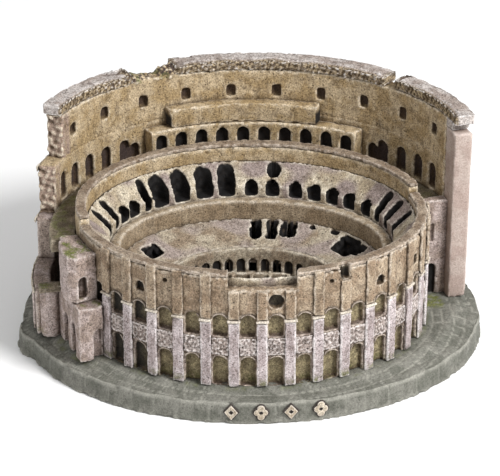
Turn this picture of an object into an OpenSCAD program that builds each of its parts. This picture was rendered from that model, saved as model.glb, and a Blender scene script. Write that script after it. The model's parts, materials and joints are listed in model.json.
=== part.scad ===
// Desk model of a ruined oval amphitheatre: an arcaded facade ring, two tiers of seating round
// an oval arena, and the surviving arc of a tall outer wall, all on a paved oval base.
// The origin is the centre of the base's underside, +Z is up and -Y is the low front.

/* [Facade ring] */
// Half the width of the facade ring, over the wall face
facade_half_w = 74.4; // [66:0.1:90]
// Half the depth of the facade ring, over the wall face
facade_half_d = 58.6; // [52:0.1:72]
// Thickness of the facade wall
facade_t = 4.7; // [4:0.1:7]
// Height of the low front of the facade above the paving
facade_front_h = 52; // [48:0.5:60]
// Extra height of the facade's back half
facade_back_rise = 4; // [1:0.5:8]
// Height of the top course of the facade
coping_h = 1.6; // [1:0.1:2.5]
// Number of bays in the whole ring
facade_bays = 36; // [30:2:40]

/* [Facade bays] */
// Width of an arch in the facade
arch_w = 6.3; // [4:0.1:7]
// Depth of the arch recesses
arch_depth = 2.6; // [1.5:0.1:3.5]
// Height of the crown of the lower arches above the paving
lower_crown = 14; // [10:0.5:16]
// Height of the sill of the upper arches above the paving
upper_sill = 23; // [20:0.5:25]
// Height of the crown of the upper arches above the paving
upper_crown = 33.5; // [30:0.5:38]
// Width of a pilaster
pilaster_w = 4.5; // [3:0.1:4.8]
// How far a pilaster stands out of the wall
pilaster_proud = 1.3; // [0.8:0.1:2]
// Height of the capitals above the paving
capital_z = 30.2; // [28:0.1:34]
// Height of a capital
capital_h = 1.2; // [0.8:0.1:2]
// How far a capital stands out past its pilaster
capital_lip = 0.5; // [0.3:0.1:1]
// Height of the band between the arches above the paving
band_z = 14.6; // [14.5:0.1:15.5]
// Height of that band
band_h = 7.8; // [5:0.2:8]
// How far the band stands out of the wall
band_proud = 0.5; // [0.3:0.1:0.7]

// Width of the moulding round the head of an arch
archivolt_w = 0.7; // [0.4:0.1:0.9]
// How far that moulding stands out of the wall
archivolt_proud = 0.8; // [0.6:0.1:1.2]

/* [Seating] */
// Drop from the facade's back top to the top of the upper seating
seating_drop = 7.6; // [5:0.2:10]
// Width of the upper seating, from the facade to its inner edge
upper_seating_w = 9.3; // [8:0.1:11]
// Height lost over the upper seating
upper_seating_fall = 8.6; // [6:0.2:10]
// Height of the wall with doors between the upper seating and the walkway
door_wall_h = 4.8; // [4:0.1:6]
// Width of the walkway between the two tiers
walkway_w = 4.8; // [3:0.1:6]
// Height of the podium wall below the walkway
podium_h = 8.4; // [6:0.2:10]
// Width of the lower seating at the sides
lower_seating_side = 19.6; // [15:0.2:22]
// Width of the lower seating at the front and the back
lower_seating_back = 14.8; // [12:0.2:17]
// Height lost over the lower seating
lower_seating_fall = 6.6; // [5:0.2:8]
// Width of a door in the upper seating
door_w = 5.7; // [3:0.1:5.8]
// Width of a narrow stair slot
slot_w = 3.4; // [2:0.1:4]
// Width of a wide stair opening
stair_w = 7; // [4:0.1:7.2]

/* [Arena] */
// Thickness of the wall round the arena
arena_wall_t = 1.8; // [1.2:0.1:3]
// Height of the arena floor above the paving
arena_floor_h = 7.8; // [5:0.2:10]
// Width of the small arches in the arena wall
arena_arch_w = 3.6; // [2:0.1:3.8]
// Height of the cell walls that stand on the arena floor
cell_h = 3.4; // [2:0.2:5]
// Thickness of those cell walls
cell_t = 1.3; // [1:0.1:2]

/* [Outer wall] */
// Width of the passage between the facade and the outer wall at the sides
passage_side = 12.4; // [10:0.1:18]
// Width of the passage at the back
passage_back = 15.4; // [13:0.1:22]
// Height of the passage floor above the paving
passage_h = 44; // [40:0.5:46]
// Thickness of the outer wall
outer_t = 7.4; // [6:0.1:10]
// Height of the first storey
storey_1_h = 22; // [18:0.5:24]
// Height of the second storey
storey_2_h = 19; // [16:0.5:22]
// Height of the third storey
storey_3_h = 22; // [20:0.5:24]
// Height of the attic above the third storey
attic_h = 20; // [16:0.5:24]
// Height of the cornice on top
cornice_h = 5; // [3:0.5:7]
// Number of bays that a full turn of the outer wall would hold
outer_bays = 50; // [44:2:56]
// How far the cornice and the storey bands stand out
cornice_proud = 1.1; // [1:0.1:2.4]
// Height of a storey band
storey_band_h = 2.4; // [1.5:0.1:3.5]
// Radius of the half columns
column_r = 1.4; // [1.2:0.1:2]
// How deep the middle of a half column lies in the wall
column_inset = 0.4; // [0.3:0.1:0.5]
// How far the outer wall's middle lies to the right of the facade's
outer_shift = 1; // [0:0.1:1.5]

/* [Gallery] */
// Depth of the gallery that stands against the back of the outer wall
gallery_d = 6.8; // [5:0.1:9]
// Height of the gallery's arcade above the passage floor
gallery_h = 16.3; // [14:0.1:18]
// Height of the plain block on the arcade
gallery_block_h = 8.7; // [6:0.1:10]

/* [Base] */
// Width of the paving outside the outer wall at the sides
side_margin = 6.8; // [5:0.1:15]
// Width of the paving in front of the facade
front_margin = 10.9; // [9:0.1:20]
// Width of the paving behind the outer wall
back_margin = 12.1; // [5:0.1:20]
// Height of the base's side
base_h = 10; // [10:0.5:14]
// Height of the foot course round the base
foot_h = 1.2; // [1:0.1:1.4]
// How far the foot course stands out
foot_proud = 1.1; // [1:0.1:2]
// Height of the paving
paving_h = 2; // [1:0.1:4]
// How far the paving is set in from the base's edge
paving_inset = 3.6; // [2:0.1:4]
// Number of raised ornaments on the front
ornaments = 4; // [3:1:5]
// Height of an ornament
ornament_h = 7; // [4:0.1:7]
// Distance from one ornament to the next
ornament_pitch = 12.2; // [9:0.1:14]

/* [Hidden] */

// Colours of the painted casting
ochre = "#b39a63";
rose = "#c3ab98";
stone = "#c9bc9b";
paving_green = "#7d8468";
cream = "#ddd3b6";
brown = "#4d4233";

// Sizes of the small features
ornament_x = 10;
plaque_proud = 0.4;
ornament_proud = 0.6;
gallery_arch_w = 5.2;
outer_arch_w = 6.2;
outer_arch_depth = 2.8;
niche_w = 5.2;
niche_depth = 2.6;
niche_sill = 0.6;
niche_crown = 12.6;
// The broken vaults beside the gallery's ends
vault_depth = 3.4;
vault_crown = 10;
beam_hole_w = 1.8;
window_w = 4;
window_h = 5.4;
pier_capital_h = 4;
pier_lean = 3.5;

// A little more than nothing, for cuts that pass a face
eps = 0.5;
// Far more than the model's size, for cuts that run out of it
far = 300;

// Heights
paving_z = base_h + paving_h;
front_top = paving_z + facade_front_h;
back_top = front_top + facade_back_rise;
passage_z = paving_z + passage_h;
storey_2_z = paving_z + storey_1_h;
storey_3_z = storey_2_z + storey_2_h;
attic_z = storey_3_z + storey_3_h;
cornice_z = attic_z + attic_h;
gallery_z = passage_z + gallery_h;
seat_top = back_top - seating_drop;
seat_foot = seat_top - upper_seating_fall;
walkway_z = seat_foot - door_wall_h;
podium_z = walkway_z - podium_h;
arena_top = podium_z - lower_seating_fall;
arena_z = paving_z + arena_floor_h;

// Half sizes of each oval, as [half width, half depth]
facade_oval = [facade_half_w, facade_half_d];
seating_oval = grow(facade_oval, -facade_t);
door_oval = grow(seating_oval, -upper_seating_w);
podium_oval = grow(door_oval, -walkway_w);
arena_oval = podium_oval - [lower_seating_side, lower_seating_back];
floor_oval = grow(arena_oval, -arena_wall_t);
passage_oval = [facade_half_w + passage_side, facade_half_d + passage_back];
outer_oval = grow(passage_oval, outer_t);
gallery_oval = grow(passage_oval, -gallery_d);

// The base's oval and where the rings' common centre lies on it
base_oval = [
    outer_oval[0] + side_margin,
    (outer_oval[1] + back_margin + facade_half_d + front_margin) / 2,
];
ring_y = facade_half_d + front_margin - base_oval[1];

// Even spacing: degrees of even arc round each ring, from the front towards +X
facade_bay = 360 / facade_bays;
outer_bay = 360 / outer_bays;
facade_gain = gain(facade_oval);
outer_gain = gain(outer_oval);

// The first pilaster right of the front centre, and the ends of the facade's sections
first_pilaster = 3.8;
left_end = pilaster_near(-76);
front_start = pilaster_near(-26);
right_start = pilaster_near(34);
right_end = pilaster_near(104);
full_turn = 360 + left_end;
// The first pilaster that stands clear of the left block
posts_start = left_end + 2 * facade_bay;

// Where the outer wall's storeys break off, as degrees of even arc
outer_end = half_bay_near(108);
storey_1_start = half_bay_near(281);
storey_2_start = half_bay_near(263);
storey_3_start = half_bay_near(259);
attic_start = half_bay_near(252);
cornice_notch = [half_bay_near(133), half_bay_near(137)];
cornice_gap = [half_bay_near(205), half_bay_near(219)];
// How far the gallery reaches to each side of the back, and its plain block
gallery_reach = half_bay_near(36);
block_start = half_bay_near(158);
block_end = half_bay_near(209);

// Openings in the upper seating, by their turns: narrow slots, wide stairs and doors
slots = [96, 106, 114, 231, 254, 263];
stairs = [191.5, 202, 213, 223.5];
doors = [122, 132, 141, 150, 159, 170, 180, 239.5, 246.5];
// What stays of the seating behind slots and stairs, and how far the doors cut its slope
stair_rim = 1.2;
door_rise = 1.8;
// The round light well above one of the doors, its middle as a share of the seating's width
well_turn = 170;
well_d = 5.4;
well_share = 0.66;
// Fallen patches in the lower seating: [turn, width, start and end of its radial reach]
patches = [
    [112, 5, 2, 8], [122, 10, 1.5, 11], [134, 3.5, 0.5, 3], [147, 3, 1, 3],
    [159.5, 6.6, 0.5, 8.5], [168.5, 4.6, 0.5, 10], [177.5, 4.2, 0.5, 10], [244, 8, 4.5, 11],
];

// Fallen stretches of the facade's attic: one in X at the front, one small at a turn
breach = [-9.5, 18.2];
breach_fall = 7.2;
small_breach_turn = first_pilaster + 3 * facade_bay;
small_breach_w = 4;
small_breach_fall = 6.4;
// Bays of the facade that hold an arch or a hole in the attic, counted from the first pilaster
attic_arches = [-4.5, 0.5, 4.5, 6.5];
attic_arch_crown = front_top - 9.5;
attic_holes = [-3.5, 2.5];
attic_hole_w = 1.8;

// The left end: its free column, and the plans of its block and tower, each corner
// as a turn and a distance from the facade
left_column_d = outer_t + 1.4;
left_column_back = 2.4;
left_cap_h = 3;
left_cap_lip = 0.6;
left_top = paving_z + storey_1_h + left_cap_h;
tower_drop = 5.5;
left_plan = [[-58.6, 12.1], [-57.1, 7.4], [-56.6, 1.2], [-57, -4], [-70, -4], [-86, -4],
    [-84, 8], [-78, 10]];
tower_plan = [[-63.9, 12], [-61.7, 9.4], [-62.2, 3.7], [-62, -4], [-70, -4], [-86, -4],
    [-84, 8], [-78, 9], [-67.6, 11.9]];

// The pilaster, or the half bay of the outer wall, nearest to s degrees
function pilaster_near(s) = first_pilaster + facade_bay * round((s - first_pilaster) / facade_bay);
function half_bay_near(s) = outer_bay / 2 * round(2 * s / outer_bay);
function grow(oval, d) = [oval[0] + d, oval[1] + d];
// How far even spacing leads the oval's own parameter
function gain(oval) =
    45 / PI * (pow(oval[0], 2) - pow(oval[1], 2)) / (pow(oval[0], 2) + pow(oval[1], 2));
// Parameter of the oval at s degrees of even arc
function turn(s, lead) = s - lead * sin(2 * s);
function spot(oval, t) = [oval[0] * sin(t), -oval[1] * cos(t)];
// Points along an oval, two to each bay
function arc(oval, from, to, bay, lead) =
    let (n = max(1, round(2 * (to - from) / bay)))
    [for (i = [0:n]) spot(oval, turn(from + (to - from) * i / n, lead))];
function facade_arc(oval, from, to) = arc(oval, from, to, facade_bay, facade_gain);
function outer_arc(oval, from, to) = arc(oval, from, to, outer_bay, outer_gain);
function reversed(list) = [for (i = [len(list) - 1:-1:0]) list[i]];

// Centres something on the rings' common centre, at height z
module ringed(z = 0) {
    translate([0, ring_y, z]) children();
}

// A wall between two outlines that run side by side
module wall(outside, inside, h) {
    linear_extrude(h) polygon(concat(outside, reversed(inside)));
}

// The same for the outer wall, whose middle lies a little to the right
module shifted(z = 0) {
    translate([outer_shift, ring_y, z]) children();
}

// Stands children on an oval's face at s, with -Y pointing outwards
module on_face(oval, s, lead) {
    t = turn(s, lead);
    translate(concat(spot(oval, t), 0))
        rotate([0, 0, atan2(sin(t) / oval[0], cos(t) / oval[1])])
        children();
}
module on_facade(s, oval = facade_oval) {
    on_face(oval, s, facade_gain) children();
}
module on_outer(s, oval = outer_oval) {
    on_face(oval, s, outer_gain) children();
}

// A block that is centred in X, from y0 to y1
module block(w, y0, y1, z0, z1) {
    translate([-w / 2, y0, z0]) cube([w, y1 - y0, z1 - z0]);
}

// A cutter with a round top, from y0 to y1
module arch(w, y0, y1, z0, crown) {
    block(w, y0, y1, z0, crown - w / 2);
    translate([0, y0, crown - w / 2]) rotate([-90, 0, 0]) cylinder(h = y1 - y0, d = w, $fn = 32);
}

// Stands an outline upright, from y0 to y1
module upright(y0, y1) {
    translate([0, y1, 0]) rotate([90, 0, 0]) linear_extrude(y1 - y0) children();
}

// Everything inside an oval with the facade's facets, from z0 to z1
module facade_core(z0, z1, oval = facade_oval) {
    ringed(z0) linear_extrude(z1 - z0)
        polygon(facade_arc(oval, first_pilaster, first_pilaster + 360 - facade_bay / 2));
}

// A closed ring with the facade's facets
module facade_ring(outer, inner, z0, z1) {
    difference() {
        facade_core(z0, z1, outer);
        facade_core(z0 - eps, z1 + eps, inner);
    }
}

// A closed ring whose top slopes from z_outer down to z_inner
module sloped_ring(outer, inner, z0, z_outer, z_inner) {
    last = first_pilaster + 360 - facade_bay / 2;
    n = 2 * facade_bays;
    rings = [
        [for (p = facade_arc(outer, first_pilaster, last)) concat(p, z0)],
        [for (p = facade_arc(outer, first_pilaster, last)) concat(p, z_outer)],
        [for (p = facade_arc(inner, first_pilaster, last)) concat(p, z_inner)],
        [for (p = facade_arc(inner, first_pilaster, last)) concat(p, z0)],
    ];
    ringed() polyhedron(
        points = [for (ring = rings) each ring],
        faces = [for (r = [0:3], i = [0:n - 1]) let (q = (r + 1) % 4, j = (i + 1) % n)
            [r * n + i, q * n + i, q * n + j, r * n + j]]
    );
}

// A stretch of an oval wall with the outer wall's facets
module outer_stretch(outer, inner, from, to, z0, z1) {
    shifted(z0) wall(outer_arc(outer, from, to), outer_arc(inner, from, to), z1 - z0);
}

// Everything from the common centre out to an oval with the outer wall's facets
module outer_wedge(oval, from, to, z0, z1) {
    shifted(z0) linear_extrude(z1 - z0) polygon(concat([[0, 0]], outer_arc(oval, from, to)));
}

// Centres of the facade's bays, and its pilasters, between two turns
function facade_middles(from, to) = [for (s = [from + facade_bay / 2:facade_bay:to]) s];
function facade_pilasters(from, to) = [for (s = [from:facade_bay:to + 1]) s];
// Centres of the outer wall's bays, and the columns between them, up to a turn
function outer_middles(to) =
    [for (k = [0:outer_bays]) let (s = k * outer_bay) if (s > outer_end + 2 && s < to - 2) s];
function outer_stops(to) =
    [for (k = [0:outer_bays]) let (s = (k + 0.5) * outer_bay) if (s > outer_end + 1 && s < to - 1) s];

// ---- Base ----

module base() {
    side = grow(base_oval, -foot_proud);
    color(paving_green) {
        linear_extrude(foot_h) polygon(outer_arc(base_oval, 0, 360 - outer_bay / 2));
        translate([0, 0, foot_h]) linear_extrude(base_h - foot_h)
            polygon(outer_arc(side, 0, 360 - outer_bay / 2));
    }
}

module paving() {
    edge = grow(base_oval, -foot_proud - paving_inset);
    color(paving_green) translate([0, 0, base_h]) linear_extrude(paving_h)
        polygon(outer_arc(edge, 0, 360 - outer_bay / 2));
}

// Places one child per ornament on the front of the base's side
module ornament_places() {
    side = grow(base_oval, -foot_proud);
    middle_z = foot_h + (base_h - foot_h) / 2;
    for (i = [0:ornaments - 1]) {
        x = ornament_x + (i - (ornaments - 1) / 2) * ornament_pitch;
        t = asin(x / side[0]);
        translate([x, -side[1] * cos(t), middle_z])
            rotate([0, 0, atan2(sin(t) / side[0], cos(t) / side[1])])
            if (i % 2 == 0) children(0); else children(1);
    }
}

// The two outlines that the ornaments take in turn, grown by an edge
module lozenge(edge = 0) {
    w = ornament_h * 0.4 + edge * 1.3;
    h = ornament_h / 2 + edge * 1.3;
    polygon([[w, 0], [0, h], [-w, 0], [0, -h]]);
}

module quatrefoil(edge = 0) {
    lobe = ornament_h * 0.23;
    for (side = [-1, 1]) {
        translate([side * lobe * 0.95, 0]) circle(lobe * 0.9 + edge, $fn = 32);
        translate([0, side * (ornament_h / 2 - lobe)]) circle(lobe + edge, $fn = 32);
    }
    square(2 * lobe, center = true);
}

module ornament_plaques() {
    color(brown) difference() {
        ornament_places() {
            upright(-plaque_proud, eps) lozenge(0.6);
            upright(-plaque_proud, eps) quatrefoil(0.6);
        }
        base_side_core();
    }
}

module front_ornaments() {
    hole = ornament_h * 0.11;
    color(cream) ornament_places() {
        upright(-plaque_proud - ornament_proud, -plaque_proud) difference() {
            lozenge();
            rotate(45) square(2 * hole, center = true);
        }
        upright(-plaque_proud - ornament_proud, -plaque_proud) difference() {
            quatrefoil();
            circle(hole, $fn = 24);
        }
    }
}

module base_side_core() {
    translate([0, 0, foot_h]) linear_extrude(base_h - foot_h)
        polygon(outer_arc(grow(base_oval, -foot_proud), 0, 360 - outer_bay / 2));
}

// ---- Facade ring ----

// The fallen stretches of the attic
module facade_breaches() {
    ringed() {
        translate([breach[0], -far, front_top - breach_fall])
            cube([breach[1] - breach[0], far - facade_half_d / 2, far]);
        on_facade(small_breach_turn) block(small_breach_w, -3, 3, front_top - small_breach_fall, far);
    }
}

module facade_holes() {
    ringed() {
        for (k = attic_arches) on_facade(first_pilaster + k * facade_bay)
            arch(k == 0.5 ? arch_w : arch_w * 0.6, -eps, arch_depth,
                attic_arch_crown - 4.5, attic_arch_crown);
        for (k = attic_holes) on_facade(first_pilaster + k * facade_bay)
            block(attic_hole_w, -eps, attic_hole_w, front_top - 7, front_top - 7 + attic_hole_w);
    }
}

// A stretch of the facade's wall with its two rows of blind arches
module facade_stretch(from, to, top) {
    difference() {
        ringed(paving_z) wall(facade_arc(facade_oval, from, to), facade_arc(seating_oval, from, to),
            top - paving_z);
        ringed() for (s = facade_middles(from, to)) on_facade(s) {
            arch(arch_w, -eps, arch_depth, paving_z, paving_z + lower_crown);
            arch(arch_w, -eps, arch_depth, paving_z + upper_sill, paving_z + upper_crown);
        }
        facade_holes();
        facade_breaches();
    }
}

module facade_left() {
    color(ochre) facade_stretch(left_end, front_start, front_top - coping_h);
}

module facade_front() {
    color(ochre) facade_stretch(front_start, right_start, front_top - coping_h);
}

module facade_right() {
    color(ochre) facade_stretch(right_start, right_end, front_top - coping_h);
}

// The back stretch is plain, with a beam hole in each bay of its inner face
module facade_back() {
    color(ochre) difference() {
        ringed(paving_z) wall(facade_arc(facade_oval, right_end, full_turn),
            facade_arc(seating_oval, right_end, full_turn), back_top - coping_h - paving_z);
        ringed() for (s = facade_middles(right_end, full_turn)) on_facade(s, seating_oval)
            block(beam_hole_w, -1.4, eps, back_top - 4.4, back_top - 4.4 + beam_hole_w);
    }
}

// Posts on the facade's face from z0 to z1, cut to the wall
module facade_posts(w, proud, z0, z1) {
    difference() {
        ringed() for (s = facade_pilasters(posts_start, right_end - facade_bay))
            on_facade(s) block(w, -proud, 1, z0, z1);
        facade_core(z0 - eps, z1 + eps);
    }
}

module facade_lower_shafts() {
    color(rose) facade_posts(pilaster_w, pilaster_proud, paving_z, paving_z + capital_z);
}

module facade_capitals() {
    color(cream) facade_posts(pilaster_w + 2 * capital_lip, pilaster_proud + capital_lip,
        paving_z + capital_z, paving_z + capital_z + capital_h);
}

module facade_upper_shafts() {
    color(ochre) difference() {
        facade_posts(pilaster_w, pilaster_proud, paving_z + capital_z + capital_h, front_top);
        facade_breaches();
    }
}

module facade_band_core() {
    ringed(paving_z + band_z) wall(facade_arc(grow(facade_oval, band_proud), posts_start, right_end),
        facade_arc(facade_oval, posts_start, right_end), band_h);
}

module facade_band() {
    z0 = paving_z + band_z;
    color(rose) difference() {
        facade_band_core();
        ringed() for (s = facade_pilasters(posts_start, right_end))
            on_facade(s) block(pilaster_w, -far, 1, z0 - eps, z0 + band_h + eps);
    }
}

// A moulding over the head of an arch, whose inner edge is the arch's own
module archivolt(crown) {
    r = arch_w / 2;
    translate([0, 0, crown - r]) upright(-archivolt_proud, 1) intersection() {
        difference() {
            circle(r + archivolt_w, $fn = 32);
            circle(r, $fn = 32);
        }
        translate([-arch_w, 0]) square([2 * arch_w, arch_w]);
    }
}

module facade_archivolts() {
    color(cream) difference() {
        ringed() for (s = facade_middles(posts_start, right_end), crown = [lower_crown, upper_crown])
            on_facade(s) archivolt(paving_z + crown);
        facade_core(paving_z, front_top);
        facade_band_core();
        ringed() for (s = facade_pilasters(posts_start, right_end)) on_facade(s)
            block(pilaster_w + 2 * capital_lip, -far, 1, paving_z, front_top);
    }
}

module facade_coping() {
    color(stone) difference() {
        ringed(front_top - coping_h) wall(facade_arc(facade_oval, left_end, right_end),
            facade_arc(seating_oval, left_end, right_end), coping_h);
        facade_breaches();
    }
}

module back_parapet() {
    color(stone) ringed(back_top - coping_h) wall(facade_arc(facade_oval, right_end, full_turn),
        facade_arc(seating_oval, right_end, full_turn), coping_h);
}

// ---- Seating and arena ----

// A cutter for a stair with a round head, which leaves a rim behind it
module stair_cut(w, rim) {
    head = rim + w / 2 - upper_seating_w;
    block(w, head, eps, walkway_z, far);
    translate([0, head, walkway_z]) cylinder(h = far, d = w, $fn = 24);
}

module upper_seating() {
    color(stone) difference() {
        sloped_ring(seating_oval, door_oval, paving_z, seat_top, seat_foot);
        ringed() {
            for (s = slots) on_facade(s, door_oval) stair_cut(slot_w, stair_rim);
            for (s = stairs) on_facade(s, door_oval) stair_cut(stair_w, stair_rim);
            for (s = doors) on_facade(s, door_oval)
                arch(door_w, -upper_seating_w / 2, eps, walkway_z, seat_foot + door_rise);
            on_facade(well_turn, door_oval)
                translate([0, -upper_seating_w * well_share, seat_foot - well_d / 2])
                    cylinder(h = far, d = well_d, $fn = 24);
        }
    }
}

module walkway() {
    color(stone) facade_ring(door_oval, podium_oval, paving_z, walkway_z);
}

module lower_seating() {
    color(cream) difference() {
        sloped_ring(podium_oval, arena_oval, paving_z, podium_z, arena_top);
        ringed() for (p = patches) on_facade(p[0], podium_oval)
            block(p[1], p[2], p[3], arena_top - 6, far);
    }
}

module arena_wall() {
    color(ochre) difference() {
        facade_ring(arena_oval, floor_oval, paving_z, arena_top);
        ringed() for (s = facade_middles(first_pilaster, first_pilaster + 360))
            on_facade(s, floor_oval) arch(arena_arch_w, 0.4 - arena_wall_t, eps, arena_z, arena_z + 7);
    }
}

module arena_floor() {
    color(ochre) facade_core(paving_z, arena_z, floor_oval);
}

// Low walls of the cells under the lost floor: long ones, and short ones across
module arena_cells() {
    cell = floor_oval[1] / 4;
    color(rose) intersection() {
        facade_core(arena_z, arena_z + cell_h, grow(floor_oval, -3));
        ringed(arena_z) {
            for (k = [-3:3]) translate([-far / 2, k * cell - cell_t / 2, 0]) cube([far, cell_t, cell_h]);
            for (k = [-3:3]) translate([k * cell * 1.4 - cell_t / 2, -far / 2, 0])
                cube([cell_t, far, cell_h]);
        }
    }
}

// ---- Passage and gallery ----

module passage_floor() {
    color(paving_green) difference() {
        outer_wedge(passage_oval, outer_end, storey_1_start, paving_z, passage_z);
        facade_core(paving_z - eps, passage_z + eps);
    }
}

module gallery_arcade() {
    color(ochre) difference() {
        outer_stretch(passage_oval, gallery_oval, 180 - gallery_reach, 180 + gallery_reach,
            passage_z, gallery_z);
        shifted() for (s = outer_stops(180 + gallery_reach)) if (s > 180 - gallery_reach)
            on_outer(s, gallery_oval) arch(gallery_arch_w, -3, eps, passage_z + 4, gallery_z - 2.3);
    }
}

module gallery_block() {
    color(ochre) outer_stretch(passage_oval, grow(gallery_oval, 0.8), block_start, block_end,
        gallery_z, gallery_z + gallery_block_h);
}

// ---- Outer wall ----

// One storey's wall, with blind arches outside from sill to crown
module storey(start, z0, h, sill, crown) {
    difference() {
        outer_stretch(outer_oval, passage_oval, outer_end, start, z0, z0 + h);
        shifted() for (s = outer_middles(start)) on_outer(s)
            arch(outer_arch_w, -eps, outer_arch_depth, z0 + sill, z0 + crown);
        children();
    }
}

// Half columns between a storey's bays, cut to the wall
module columns(start, z0, z1) {
    difference() {
        shifted(z0) for (s = outer_stops(start)) on_outer(s)
            translate([0, column_inset, 0]) cylinder(h = z1 - z0, r = column_r, $fn = 24);
        outer_wedge(outer_oval, outer_end, start, z0 - eps, z1 + eps);
    }
}

module band(start, z1) {
    outer_stretch(grow(outer_oval, cornice_proud), outer_oval, outer_end, start,
        z1 - storey_band_h, z1);
}

module storey_1_wall() {
    color(rose) storey(storey_1_start, paving_z, storey_1_h, 0, storey_1_h - 6);
}

module storey_1_columns() {
    color(stone) columns(storey_1_start, paving_z, storey_2_z - storey_band_h);
}

module storey_1_band() {
    color(stone) band(storey_1_start, storey_2_z);
}

module storey_2_wall() {
    color(rose) storey(storey_2_start, storey_2_z, storey_2_h, 2, storey_2_h - 5);
}

module storey_2_columns() {
    color(stone) columns(storey_2_start, storey_2_z, storey_3_z - storey_band_h);
}

module storey_2_band() {
    color(stone) band(storey_2_start, storey_3_z);
}

// The third storey also has niches inside, above the passage floor
module storey_3_wall() {
    color(ochre) storey(storey_3_start, storey_3_z, storey_3_h, 3, storey_3_h - 6)
        shifted() {
            for (s = outer_middles(storey_3_start)) if (abs(s - 180) > gallery_reach)
                on_outer(s, passage_oval)
                    arch(niche_w, -niche_depth, eps, passage_z + niche_sill, passage_z + niche_crown);
            for (side = [-1, 1]) on_outer(180 + side * (gallery_reach + outer_bay / 2), passage_oval)
                arch(niche_w, -vault_depth, eps, passage_z + niche_sill, passage_z + vault_crown);
        }
}

module storey_3_columns() {
    color(stone) columns(storey_3_start, storey_3_z, attic_z - storey_band_h);
}

module storey_3_band() {
    color(stone) band(storey_3_start, attic_z);
}

// A square window in every other bay, blind from inside and outside
module attic_wall() {
    window_z = attic_z + attic_h / 2 - window_h / 2;
    color(ochre) difference() {
        outer_stretch(outer_oval, passage_oval, outer_end, attic_start, attic_z, cornice_z);
        shifted() for (s = outer_middles(attic_start)) if (round((s - 180) / outer_bay) % 2 != 0) {
            on_outer(s, passage_oval) block(window_w, -niche_depth, eps, window_z, window_z + window_h);
            on_outer(s) block(window_w, -eps, niche_depth, window_z, window_z + window_h);
        }
    }
}

module attic_pilasters() {
    color(stone) difference() {
        shifted() for (s = outer_stops(attic_start)) on_outer(s)
            block(2 * column_r, -0.8, 1, attic_z, cornice_z);
        outer_wedge(outer_oval, outer_end, attic_start, attic_z - eps, cornice_z + eps);
    }
}

// Small brackets between the pilasters that once held the awning's masts
module attic_corbels() {
    z0 = attic_z + attic_h * 0.7;
    color(stone) difference() {
        shifted() for (s = outer_middles(attic_start), side = [-1:1]) on_outer(s)
            translate([side * 2.6, 0, 0]) block(1.2, -1, 1, z0, z0 + 1.8);
        outer_wedge(outer_oval, outer_end, attic_start, z0 - eps, z0 + 1.8 + eps);
    }
}

module cornice(from, to) {
    color(rose) outer_stretch(grow(outer_oval, cornice_proud), passage_oval, from, to,
        cornice_z, cornice_z + cornice_h);
}

module cornice_right() {
    cornice(outer_end - outer_bay, cornice_notch[0]);
}

module cornice_back() {
    cornice(cornice_notch[1], cornice_gap[0]);
}

module cornice_left() {
    cornice(cornice_gap[1], attic_start);
}

// ---- Broken ends of the outer wall ----

// The smooth pier that closes the right end, with a face that leans back
module right_pier() {
    z1 = cornice_z - pier_capital_h;
    start = outer_end - outer_bay;
    color(rose) difference() {
        outer_stretch(grow(outer_oval, 0.6), passage_oval, start, outer_end, paving_z, z1);
        shifted(paving_z) on_outer(start) rotate([0, -pier_lean, 0])
            translate([-far, -20, -20]) cube([far, 60, far]);
    }
}

module right_pier_capital() {
    color(stone) outer_stretch(grow(outer_oval, 1), passage_oval, outer_end - outer_bay * 0.6, outer_end,
        cornice_z - pier_capital_h, cornice_z);
}

module right_cross_wall() {
    start = outer_end - outer_bay / 2;
    middle = grow(facade_oval, passage_side / 2);
    color(rose) difference() {
        outer_wedge(passage_oval, start, outer_end, paving_z, passage_z + 2);
        facade_core(paving_z - eps, far);
        shifted() on_outer(start, middle) rotate([0, 0, -90]) {
            arch(4.6, -5, 3, paving_z, paving_z + 15);
            arch(1.8, -5, 2, paving_z + 26, paving_z + 35);
        }
    }
}

// What the left end's pieces are cut against
module left_neighbours() {
    facade_core(paving_z - eps, far);
    outer_wedge(passage_oval, outer_end, storey_1_start, paving_z - eps, far);
    outer_stretch(outer_oval, grow(passage_oval, -eps), outer_end, storey_1_start, paving_z - eps, far);
    ringed() on_facade(posts_start)
        block(pilaster_w + 2 * capital_lip, -pilaster_proud - capital_lip, 1, paving_z - eps, far);
}

// The middle of the free column at the outer wall's left foot
module at_left_column(z) {
    shifted(z) on_outer(storey_1_start, grow(outer_oval, -outer_t / 2 - left_column_back)) children();
}

// The square cap of the column, h high
module left_cap(h) {
    w = left_column_d + 2 * left_cap_lip;
    at_left_column(paving_z + storey_1_h) translate([-w / 2, -w / 2, 0]) cube([w, w, h]);
}

module left_column() {
    color(rose) difference() {
        at_left_column(paving_z) cylinder(h = storey_1_h, d = left_column_d, $fn = 48);
        left_neighbours();
    }
}

module left_column_cap() {
    color(stone) difference() {
        left_cap(left_cap_h);
        left_neighbours();
    }
}

// Corners of a plan beside the facade
function beside(p) = spot(grow(facade_oval, p[1]), turn(p[0], facade_gain));

// A blind arch in the face between two corners of a plan, at a share of its length
module face_arch(p, q, share, w, depth, z0, crown) {
    a = beside(p);
    b = beside(q);
    translate(concat(a + (b - a) * share, 0)) rotate([0, 0, atan2(b[1] - a[1], b[0] - a[0])])
        arch(w, -eps, depth, z0, crown);
}

// The broken inner arcade at the left
module left_block() {
    color(rose) difference() {
        ringed(paving_z) linear_extrude(left_top - paving_z)
            polygon([for (p = left_plan) beside(p)]);
        left_neighbours();
        at_left_column(0) cylinder(h = far, d = left_column_d, $fn = 48);
        left_cap(far);
        ringed() {
            face_arch(left_plan[1], left_plan[2], 0.5, 4.6, 3, paving_z, paving_z + 14);
            for (share = [0.36, 0.7])
                face_arch(left_plan[7], left_plan[0], share, 4.8, 3.5, paving_z, paving_z + 15);
        }
    }
}

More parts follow.
